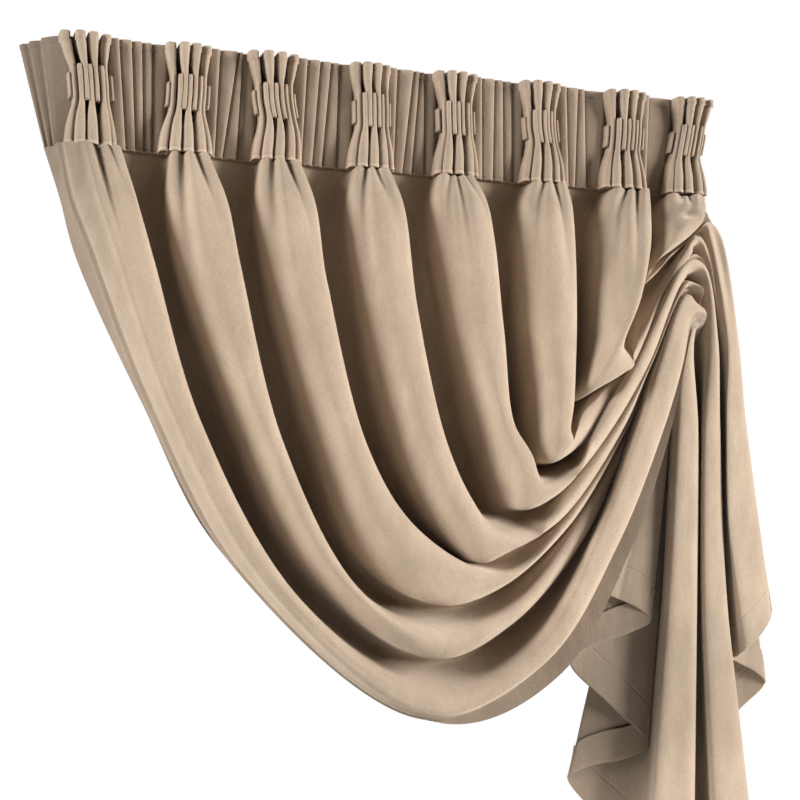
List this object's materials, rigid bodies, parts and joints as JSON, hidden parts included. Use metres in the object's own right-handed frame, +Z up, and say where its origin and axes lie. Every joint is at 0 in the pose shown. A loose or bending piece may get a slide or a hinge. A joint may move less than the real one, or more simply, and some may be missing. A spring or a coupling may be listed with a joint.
{
  "type": "velvet blackout curtain",
  "caption": "Velvet blackout curtain with a smocked pinch-pleat heading, drawn up to one side into a deep swag with a cascading tail.",
  "frame": {"origin": "middle of the heading's top edge, in the plane of the recessed band behind the pleats", "axes": "+Z up, +X along the heading to the side where the curtain is tied, front faces -Y"},
  "size_m": [1.049, 0.1716, 1.122],
  "materials": {
    "panel_velvet": "beige short-pile velvet, matt with a soft sheen",
    "heading_velvet": "beige short-pile velvet, gathered",
    "pleat_velvet": "beige short-pile velvet, pleated and stitched"
  },
  "bodies": {
    "root": {"panel": "panel_velvet", "heading_band": "heading_velvet", "pleat_cluster_1": "pleat_velvet", "pleat_cluster_2": "pleat_velvet", "pleat_cluster_3": "pleat_velvet", "pleat_cluster_4": "pleat_velvet", "pleat_cluster_5": "pleat_velvet", "pleat_cluster_6": "pleat_velvet", "pleat_cluster_7": "pleat_velvet", "pleat_cluster_8": "pleat_velvet"}
  },
  "joints": []
}
